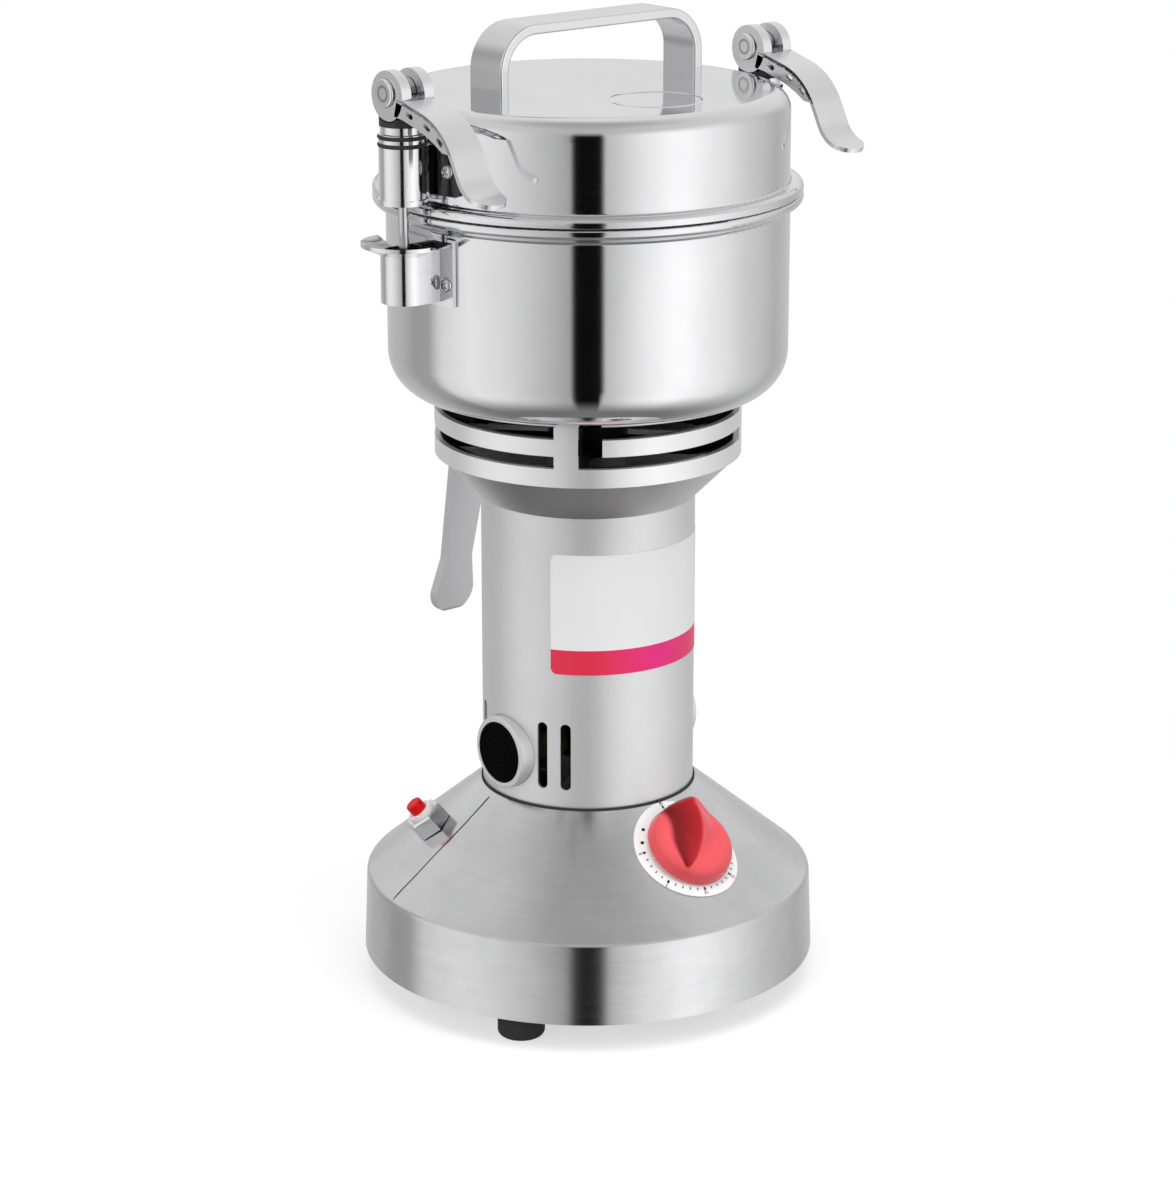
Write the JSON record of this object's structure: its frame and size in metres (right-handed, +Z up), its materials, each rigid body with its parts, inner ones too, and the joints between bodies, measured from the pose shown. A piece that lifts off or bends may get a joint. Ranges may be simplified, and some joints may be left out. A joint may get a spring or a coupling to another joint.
{
  "type": "electric grain mill",
  "caption": "Upright electric grain mill: spun steel base, motor tube, louvred neck, bowl with blades and a lid held by two swivelling cam-lever clamps; timer knob on the base.",
  "frame": {"origin": "on the motor axis, in the plane that the feet stand on", "axes": "+Z up along the motor axis, -Y to the front where the timer knob is, +X to the right-hand clamp seen from the front"},
  "size_m": [0.2148, 0.1876, 0.397],
  "materials": {
    "base_steel": "brushed round the axis",
    "bowl_steel": "polished, with faint spinning lines",
    "tube_steel": "satin",
    "strap_steel": "satin",
    "fastener_steel": "bright zinc",
    "blade_steel": "ground",
    "plate_steel": "dark zinc plate",
    "neck_aluminium": "turned",
    "frame_aluminium": "as cast",
    "clamp_metal": "bright plate",
    "barrel_metal": "dark satin",
    "black_plastic": "moulded",
    "white_plastic": "moulded",
    "red_knob": "glossy moulded",
    "red_button": "glossy moulded",
    "dial_white": "white enamel",
    "rubber_black": "moulded",
    "seal_white": "silicone",
    "laminations": "stacked sheet",
    "copper": "enamelled wire and bars",
    "carbon": "carbon block",
    "brush_brass": "drawn"
  },
  "bodies": {
    "frame": {"base_shell": "base_steel", "base_plate": "plate_steel", "rubber_feet": "rubber_black", "foot_screws": "fastener_steel", "foot_nuts": "fastener_steel", "tie_bolts": "fastener_steel", "cable_gland": "black_plastic", "timer_dial_plate": "dial_white", "timer_body": "black_plastic", "timer_nut": "fastener_steel", "breaker_body": "white_plastic", "reset_nut": "fastener_steel", "motor_housing": "tube_steel", "motor_end_frame": "frame_aluminium", "brush_bosses": "tube_steel", "brush_caps": "black_plastic", "brush_holders": "brush_brass", "carbon_brushes": "carbon", "brush_springs": "fastener_steel", "stator_core": "laminations", "field_windings": "copper", "motor_bearings": "fastener_steel", "motor_tie_rods": "fastener_steel", "neck_casting": "neck_aluminium", "pour_handle": "strap_steel", "pour_handle_screws": "fastener_steel", "bowl": "bowl_steel", "bowl_screws": "fastener_steel", "shaft_seal": "rubber_black", "catches": "barrel_metal", "catch_screws": "fastener_steel"},
    "lid": {"lid_shell": "bowl_steel", "lid_seal": "seal_white", "lid_handle": "bowl_steel", "left_clamp_barrel": "barrel_metal", "right_clamp_barrel": "barrel_metal", "barrel_screws": "fastener_steel", "clamp_o_rings": "rubber_black"},
    "rotor": {"motor_shaft": "blade_steel", "armature_core": "laminations", "armature_windings": "copper", "commutator": "copper", "cooling_fan": "black_plastic", "lower_blade": "blade_steel", "upper_blade": "blade_steel", "blade_spacers": "blade_steel", "blade_nut": "blade_steel"},
    "timer_knob": {"timer_knob": "red_knob", "timer_shaft": "fastener_steel"},
    "reset_button": {"reset_button": "red_button"},
    "left_swivel": {"left_clamp_collar": "clamp_metal", "left_clamp_washer": "black_plastic"},
    "left_rod": {"left_clamp_rod": "fastener_steel", "left_clamp_pin": "clamp_metal"},
    "left_lever": {"left_clamp_lever": "barrel_metal"},
    "right_swivel": {"right_clamp_collar": "clamp_metal", "right_clamp_washer": "black_plastic"},
    "right_rod": {"right_clamp_rod": "fastener_steel", "right_clamp_pin": "clamp_metal"},
    "right_lever": {"right_clamp_lever": "barrel_metal"}
  },
  "joints": [
    {"name": "lid_lift", "type": "slide", "parent": "frame", "child": "lid", "axis": [0, 0, 1], "range_m": [0, 0.1]},
    {"name": "rotor_spin", "type": "hinge", "parent": "frame", "child": "rotor", "pos_m": [0, 0, 0.15], "axis": [0, 0, 1], "continuous": true},
    {"name": "timer_turn", "type": "hinge", "parent": "frame", "child": "timer_knob", "pos_m": [0, -0.062, 0.06902], "axis": [0, 0.632, -0.7749], "range_deg": [0, 300]},
    {"name": "reset_press", "type": "slide", "parent": "frame", "child": "reset_button", "axis": [0.5631, -0.2869, -0.7749], "range_m": [0, 0.0025], "stiffness_N_per_m": 300, "springref_m": -0.001},
    {"name": "left_clamp_turn", "type": "hinge", "parent": "lid", "child": "left_swivel", "pos_m": [-0.091, 0, 0.34], "axis": [0, 0, -1], "range_deg": [0, 90]},
    {"name": "left_rod_slide", "type": "slide", "parent": "left_swivel", "child": "left_rod", "axis": [0, 0, -1], "range_m": [0, 0.0019]},
    {"name": "left_lever_raise", "type": "hinge", "parent": "left_rod", "child": "left_lever", "pos_m": [-0.091, 0, 0.37622], "axis": [-1, 0, 0], "range_deg": [0, 100]},
    {"name": "right_clamp_turn", "type": "hinge", "parent": "lid", "child": "right_swivel", "pos_m": [0.091, 0, 0.34], "axis": [0, 0, 1], "range_deg": [0, 90]},
    {"name": "right_rod_slide", "type": "slide", "parent": "right_swivel", "child": "right_rod", "axis": [0, 0, -1], "range_m": [0, 0.0019]},
    {"name": "right_lever_raise", "type": "hinge", "parent": "right_rod", "child": "right_lever", "pos_m": [0.091, 0, 0.37622], "axis": [-1, 0, 0], "range_deg": [0, 100]}
  ],
  "couplings": [
    {"joint": "left_rod_slide", "follows": "left_lever_raise", "m_per_rad": 0.0010534},
    {"joint": "right_rod_slide", "follows": "right_lever_raise", "m_per_rad": 0.0010534}
  ]
}
